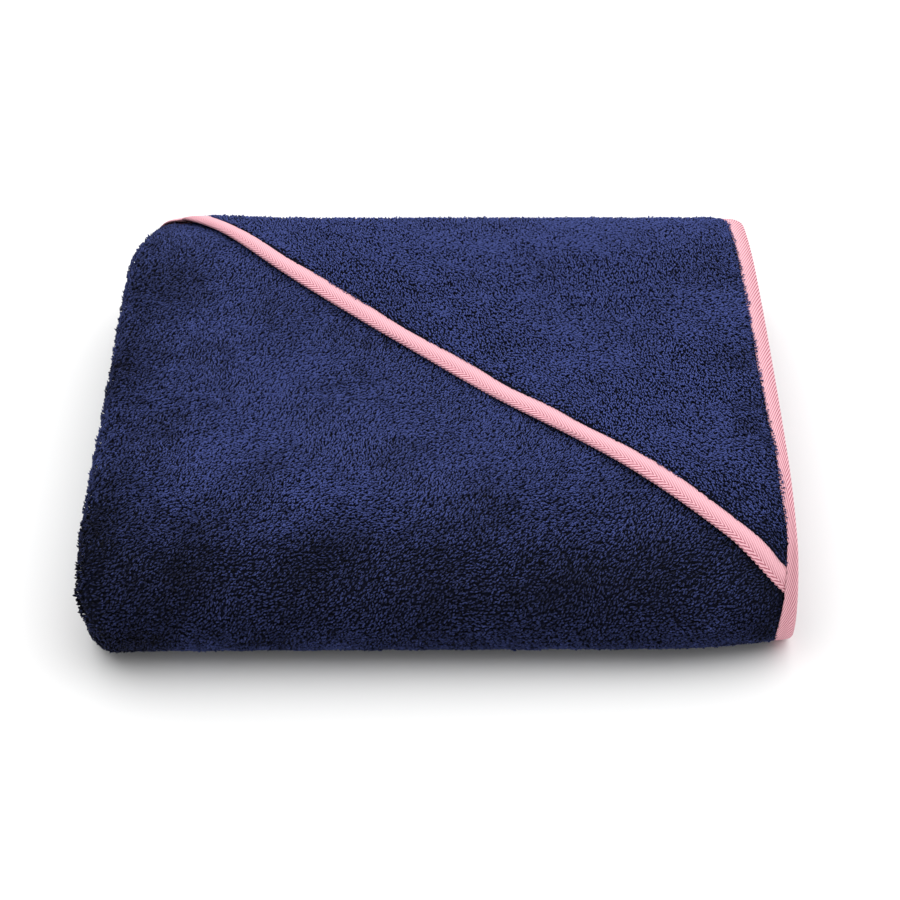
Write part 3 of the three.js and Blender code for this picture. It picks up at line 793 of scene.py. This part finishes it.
# Where the pile starts: beside the tapes, but over the binding round the hood
BESIDE_TAPE = TAPE_SHOWN + 0.4
OVER_BINDING = TAPE_SHOWN - 0.3
RAGGED = {"strength": 0.35, "width": 5}
RAGGED_SIDE_SEED = SEED + 7
RAGGED_LONG_SEED = SEED + 10
HOOD_PILE_SEED = SEED + 20
SMALL_BY_TAPE = 0.65
SHORT_BY_TAPE = 0.6
UNDER_HOOD_TAPE = 3
BANK_SLOPE = 0.9
BANK_GAP = 0.1


def loops_on(u, v, root_lift, rise, size, heading, random):
    """Bent loops of yarn, full in the middle. Most lean over towards their heading, and a few stand up."""
    count = len(u)
    tufted = np.exp(-((u - LEFT_FOLD) / TUFTS["reach"]) ** 2 / 2)
    more_upright = TUFTS["upright_share"] - UPRIGHT["share"]
    upright = random.random(count) < UPRIGHT["share"] + more_upright * tufted
    rise = rise * (1 + TUFTS["extra_rise"] * tufted)
    length = size * LOOP_LENGTH * random.uniform(*LENGTH_SPREAD, count)
    length = length * np.where(upright, UPRIGHT["length"], 1)
    climb = rise * random.uniform(*CLIMB_SPREAD, count) * np.where(upright, UPRIGHT["climb"], 1)
    curl = heading + random.normal(0, CURL_SPREAD, count)
    bend_u = u + BEND_PLACE * length * np.cos(heading)
    bend_v = v + BEND_PLACE * length * np.sin(heading)
    tip_u = bend_u + (1 - BEND_PLACE) * length * np.cos(curl)
    tip_v = bend_v + (1 - BEND_PLACE) * length * np.sin(curl)
    root = folded(u, v, root_lift - ROOT_SUNK)
    bend = folded(bend_u, bend_v, root_lift + BEND_CLIMB * climb)
    tip = folded(tip_u, tip_v, root_lift + climb * random.uniform(*TIP_CLIMBS, count))
    normal = unit(folded(u, v, root_lift + 1) - folded(u, v, root_lift))
    ahead = unit(tip - root)
    sideways = unit(np.cross(ahead, normal))
    above = np.cross(sideways, ahead)
    radius = (LOOP_RADIUS * size * random.uniform(*RADIUS_SPREAD, count))[:, None]
    points = [root]
    for angle in BEND_ANGLES:
        points.append(bend + radius * (math.cos(angle) * sideways + math.sin(angle) * above))
    points.append(tip)
    points = np.stack(points, 1).reshape(-1, 3)
    points[:, 2] = np.maximum(points[:, 2], LOWEST_POINT)
    faces = np.array(LOOP_FACES)[None] + POINTS_IN_LOOP * np.arange(count)[:, None, None]
    return points, faces.reshape(-1, 3).tolist()


def scattered(row, random):
    """Staggered rows of roots, each a little out of its place."""
    spacing = row["spacing"]
    u_line = np.arange(*row["u"], spacing)
    v_line = np.arange(*row["v"], spacing * ROW_SHARE)
    u, v = np.meshgrid(u_line, v_line, indexing="ij")
    u = u + spacing / 2 * (np.arange(len(v_line)) % 2)[None, :]
    jitter = JITTER * spacing
    u = u + random.uniform(-jitter, jitter, u.shape)
    v = v + random.uniform(-jitter, jitter, v.shape)
    return u.ravel(), v.ravel()


def towel_heading(u, v):
    """The towel's nap leans back and to the right, with brushed patches."""
    return np.radians(np.interp(v, *TOWEL_NAP)) + unevenness(u, v, TOWEL_NAP_TURNS)


def hood_heading(u, v):
    """The hood's nap leans to the front and to the right."""
    return math.radians(HOOD_NAP) + unevenness(u, v, HOOD_NAP_TURNS)


def tone_and_painted_shading(u, v, lift):
    """How light the nap is drawn: its random tone, times painted shade and painted light in patches, and
    painted shade down the front fold, at the back edge and towards the sides.
    """
    places = folded(u, v, lift)
    x, y = places[:, 0], places[:, 1]
    shade = 1 + unevenness(u, v, NAP_CLOUDS)
    # Painted shade and painted light in soft patches
    for patch in PAINTED_LIGHT_AND_SHADE_PATCHES:
        distance = np.hypot(x - patch["x"], y - patch["y"]) / patch["radius"]
        shade = shade * (1 + (patch["shade"] - 1) * np.exp(-distance ** 2 / 2))
    # Painted shade down the front fold, at the back edge and towards the left and right sides
    shade = shade * np.interp(y, DEPTH_SHADE_PLACES, DEPTH_SHADES)
    return shade * np.interp(x, SIDE_SHADE_PLACES, SIDE_SHADES)


def give_tone_and_painted_shading(piece, shade, random):
    """Each loop has its own random tone of the dye, times painted shading kept on its corners: painted
    shade down at its root and on its sides, painted light on its back.
    """
    loops = shade * random.normal(1, LOOP_SHADE_SPREAD, shade.shape)
    corners = (loops[:, None] * np.array(PAINTED_CORNER_SHADING)).ravel().astype(np.float32)
    # The nap attribute holds each loop's random tone times its painted shade and painted light
    piece.data.attributes.new("nap", "FLOAT", "POINT").data.foreach_set("value", corners)


def beside_hood_tape(u, v):
    """The towel's pile is in the shadow of the hood's tape, most at its right end."""
    distance = np.maximum(0, -hood_edge_distance(u, v)) / TAPE_SHADOW["reach"]
    depth = np.interp(along_hood_edge(u, v), TAPE_SHADOW["places"], TAPE_SHADOW["depths"])
    return 1 - depth * np.exp(-distance ** 2 / 2)


def ragged(u, v, seed):
    """How far the pile's edge strays from its line."""
    return RAGGED["strength"] * smooth_noise(u, v, RAGGED["width"], seed)


def make_pile(row, u, v, full, lift, heading, shade, random, material):
    """One stretch of loops on their roots, smaller and shorter where a tape presses them."""
    size = math.sqrt(row["spacing"] / CLOSEST_SPACING) * (SMALL_BY_TAPE + (1 - SMALL_BY_TAPE) * full)
    height = SHORT_BY_TAPE + (1 - SHORT_BY_TAPE) * full
    rise = PILE_HEIGHT * height * (1 + unevenness(u, v, RISE_CLOUDS))
    heading = heading + random.normal(0, HEADING_SPREAD, u.shape)
    piece = make_piece(row["name"], *loops_on(u, v, lift, rise, size, heading, random), material)
    # Each loop's random tone times its painted shade and painted light
    give_tone_and_painted_shading(piece, shade * tone_and_painted_shading(u, v, lift), random)
    return piece


def make_towel_pile(row, material):
    """The towel's loops, from the tape's edge to just under the hood's tape."""
    random = np.random.default_rng(SEED + TOWEL_PILE.index(row))
    u, v = scattered(row, random)
    distance = towel_pile_distance(u, v) + ragged(u, v, RAGGED_SIDE_SEED)
    start = BESIDE_TAPE + DARK_GAP * near_left_end(u, v)
    keep = (distance > start) & (hood_edge_distance(u, v) < UNDER_HOOD_TAPE)
    u, v, full = u[keep], v[keep], fullness(distance[keep])
    lift = towel_ground_top(u, v)
    # Painted shade on the whole towel, times the painted shadow of the hood's tape
    shade = TOWEL_PAINTED_SHADE * beside_hood_tape(u, v)
    return make_pile(row, u, v, full, lift, towel_heading(u, v), shade, random, material)


def make_hood_pile(row, material):
    """The hood's loops, which bank up over the binding round it."""
    random = np.random.default_rng(HOOD_PILE_SEED + HOOD_PILE.index(row))
    u, v = scattered(row, random)
    long_edge = from_hood_tape(u, v) + ragged(u, v, RAGGED_LONG_SEED)
    side_edge = np.minimum(from_right(u, v), v) + ragged(u, v, RAGGED_SIDE_SEED)
    keep = (long_edge > BESIDE_TAPE) & (side_edge > OVER_BINDING)
    u, v, side_edge = u[keep], v[keep], side_edge[keep]
    full = fullness(np.minimum(long_edge[keep], side_edge))
    ground = hood_ground_top(u, v)
    binding_top = OVER_HOOD + TAPE_THICKNESS + BINDING_CROWN + BANK_GAP
    lift = np.maximum(ground, binding_top - BANK_SLOPE * np.maximum(0, side_edge - TAPE_SHOWN))
    # The hood's loops carry painted light
    return make_pile(row, u, v, full, lift, hood_heading(u, v), HOOD_PAINTED_LIGHT, random, material)


# Finishes

# Yarn of about 0.5 mm has a twist of that length. The ground's threads are as fine, and are drawn in
# coarser clumps, so that they show between the loops.
YARN_TWIST = 0.5
YARN_RELIEF = 0.1
GROUND_THREADS = 1.7
GROUND_RELIEF = 1.0


def linear(colour):
    """An sRGB hex colour as linear light."""
    light = []
    for place in (1, 3, 5):
        value = int(colour[place:place + 2], 16) / 255
        light.append(value / 12.92 if value <= 0.04045 else ((value + 0.055) / 1.055) ** 2.4)
    return [*light, 1]


def add_node(tree, kind, inputs=(), **settings):
    """Adds a node. Each input is a plain value, or the output that it is linked to."""
    node = tree.nodes.new(kind)
    for name, value in settings.items():
        setattr(node, name, value)
    for socket, value in dict(inputs).items():
        if isinstance(value, bpy.types.NodeSocket):
            tree.links.new(value, node.inputs[socket])
        else:
            node.inputs[socket].default_value = value
    return node


def new_material(name):
    """An empty material and its node tree."""
    material = bpy.data.materials.new(name)
    material.use_nodes = True
    material.node_tree.nodes.clear()
    return material, material.node_tree


def coloured_between(tree, factor, dark, light, start=0.3, end=0.7):
    """A colour between a dark one and a light one, as the factor goes from start to end."""
    ramp = add_node(tree, "ShaderNodeValToRGB", {"Fac": factor})
    ramp.color_ramp.elements[0].position = start
    ramp.color_ramp.elements[0].color = linear(dark)
    ramp.color_ramp.elements[1].position = end
    ramp.color_ramp.elements[1].color = linear(light)
    return ramp.outputs["Color"]


def cotton_terry_pile():
    """Cotton loop pile, woven and dyed navy: matt yarn with a faint sheen. Its colour runs from near black
    to navy with each loop's random tone and its painted shade and painted light.
    """
    material, tree = new_material("cotton_terry_pile")
    # The nap attribute carries random tone times painted shade and painted light; the ramp's near-black
    # end is painted shade at the roots
    nap = add_node(tree, "ShaderNodeAttribute", attribute_name="nap")
    colour = coloured_between(tree, nap.outputs["Fac"], "#090a18", "#4b5795", 0.2, 1.0)
    place = add_node(tree, "ShaderNodeTexCoord").outputs["Object"]
    twist = add_node(tree, "ShaderNodeTexNoise", {
        "Vector": place, "Scale": 1 / (YARN_TWIST * MM), "Detail": 1.0})
    bump = add_node(tree, "ShaderNodeBump", {
        "Height": twist.outputs["Fac"], "Strength": 0.3, "Distance": YARN_RELIEF * MM})
    shader = add_node(tree, "ShaderNodeBsdfPrincipled", {
        "Base Color": colour, "Roughness": 0.9, "Specular IOR Level": 0.12,
        "Sheen Weight": 0.02, "Sheen Roughness": 0.5, "Normal": bump.outputs["Normal"]})
    add_node(tree, "ShaderNodeOutputMaterial", {"Surface": shader.outputs["BSDF"]})
    return material


def cotton_ground_weave():
    """Plain-woven ground cloth under the loops: the same navy yarn, flat and matt, but coloured near black
    as painted shade between the loops.
    """
    material, tree = new_material("cotton_ground_weave")
    place = add_node(tree, "ShaderNodeTexCoord").outputs["Object"]
    weave = add_node(tree, "ShaderNodeTexNoise", {
        "Vector": place, "Scale": 1 / (GROUND_THREADS * MM), "Detail": 2.0})
    # Near-black colours: painted shade in place of the navy yarn's own colour
    colour = coloured_between(tree, weave.outputs["Fac"], "#07080f", "#14182f")
    bump = add_node(tree, "ShaderNodeBump", {
        "Height": weave.outputs["Fac"], "Strength": 1.0, "Distance": GROUND_RELIEF * MM})
    shader = add_node(tree, "ShaderNodeBsdfPrincipled", {
        "Base Color": colour, "Roughness": 0.95, "Specular IOR Level": 0.1,
        "Normal": bump.outputs["Normal"]})
    add_node(tree, "ShaderNodeOutputMaterial", {"Surface": shader.outputs["BSDF"]})
    return material


def cotton_herringbone_tape():
    """Woven cotton herringbone tape, dyed pale pink: matt slanting ribs in relief, with painted shade in
    their grooves, deepest by the fold.
    """
    material, tree = new_material("cotton_herringbone_tape")
    rib_pitch_across = RIB_PITCH_ALONG * math.tan(math.radians(RIB_ANGLE))
    weave_map = add_node(tree, "ShaderNodeUVMap", uv_map="weave")
    weave = add_node(tree, "ShaderNodeSeparateXYZ", {"Vector": weave_map.outputs["UV"]})
    from_spine = add_node(tree, "ShaderNodeMath", {0: weave.outputs["Y"]}, operation="ABSOLUTE")
    lengthways = add_node(tree, "ShaderNodeMath", {
        0: weave.outputs["X"], 1: math.pi / RIB_PITCH_ALONG}, operation="MULTIPLY")
    phase = add_node(tree, "ShaderNodeMath", {
        0: from_spine.outputs[0], 1: math.pi / rib_pitch_across, 2: lengthways.outputs[0]},
        operation="MULTIPLY_ADD")
    wave = add_node(tree, "ShaderNodeMath", {0: phase.outputs[0]}, operation="SINE")
    rib = add_node(tree, "ShaderNodeMath", {0: wave.outputs[0]}, operation="ABSOLUTE")
    from_fold = add_node(tree, "ShaderNodeAttribute", attribute_name="from_fold")
    depth = add_node(tree, "ShaderNodeMapRange", {
        "Value": from_fold.outputs["Fac"], "From Min": RIBS_FADE["from"], "From Max": RIBS_FADE["to"],
        "To Min": RIBS_FADE["deep"], "To Max": RIBS_FADE["shallow"]})
    # Painted shade in the grooves, as deep as the ribs' relief
    groove = add_node(tree, "ShaderNodeMath", {0: 1.0, 1: rib.outputs[0]}, operation="SUBTRACT")
    shaded = add_node(tree, "ShaderNodeMath", {
        0: groove.outputs[0], 1: depth.outputs[0]}, operation="MULTIPLY")
    # Pale pink on the ribs, darker red as painted shade in the grooves
    colour = coloured_between(tree, shaded.outputs[0], "#f5bcc6", "#a8465c", 0.0, 0.85)
    bump = add_node(tree, "ShaderNodeBump", {
        "Height": shaded.outputs[0], "Strength": 0.9, "Distance": RIB_RELIEF * MM}, invert=True)
    shader = add_node(tree, "ShaderNodeBsdfPrincipled", {
        "Base Color": colour, "Roughness": 0.8, "Specular IOR Level": 0.3,
        "Sheen Weight": 0.05, "Normal": bump.outputs["Normal"]})
    add_node(tree, "ShaderNodeOutputMaterial", {"Surface": shader.outputs["BSDF"]})
    return material


def matt_paint():
    """The studio floor: plain, pale and matt."""
    material, tree = new_material("matt_paint")
    shader = add_node(tree, "ShaderNodeBsdfPrincipled", {
        "Base Color": linear("#f4f4f4"), "Roughness": 0.9})
    add_node(tree, "ShaderNodeOutputMaterial", {"Surface": shader.outputs["BSDF"]})
    return material


# Studio

FLOOR_SIZE = 20000
SOFT_SUN = {"strength": 2.6, "angle": 110, "tilt_back": 20, "tilt_right": 6}
WORLD_STRENGTH = 0.6


def make_studio():
    """A pale floor, one wide soft lamp above and white light from all sides."""
    half = FLOOR_SIZE / 2
    corners = [(-half, -half, 0), (half, -half, 0), (half, half, 0), (-half, half, 0)]
    floor = make_piece("studio_floor", corners, [[0, 1, 2, 3]], matt_paint())
    light = bpy.data.lights.new("soft_overhead", "SUN")
    light.energy = SOFT_SUN["strength"]
    light.angle = math.radians(SOFT_SUN["angle"])
    lamp = bpy.data.objects.new("soft_overhead", light)
    lamp.rotation_euler = (-math.radians(SOFT_SUN["tilt_back"]), math.radians(SOFT_SUN["tilt_right"]), 0)
    bpy.context.scene.collection.objects.link(lamp)
    world = bpy.data.worlds.new("studio")
    world.use_nodes = True
    world.node_tree.nodes["Background"].inputs["Strength"].default_value = WORLD_STRENGTH
    world.node_tree.nodes["Background"].inputs["Color"].default_value = (1, 1, 1, 1)
    bpy.context.scene.world = world
    bpy.context.scene.view_settings.view_transform = "Standard"


make_camera()
pile_finish = cotton_terry_pile()
ground_finish = cotton_ground_weave()
tape_finish = cotton_herringbone_tape()

towel_ground = make_towel_ground(ground_finish)
towel_pile = [make_towel_pile(row, pile_finish) for row in TOWEL_PILE]
hood_ground = make_hood_ground(ground_finish)
hood_pile = [make_hood_pile(row, pile_finish) for row in HOOD_PILE]
edge_tape = make_edge_tape(tape_finish)
hood_tape = make_hood_tape(tape_finish)
make_studio()

for piece in (towel_ground, *towel_pile, hood_ground, *hood_pile, edge_tape, hood_tape):
    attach(piece, "root")
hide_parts("towel_cloth")
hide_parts("hood")
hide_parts("edge_binding")
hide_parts("hood_binding")
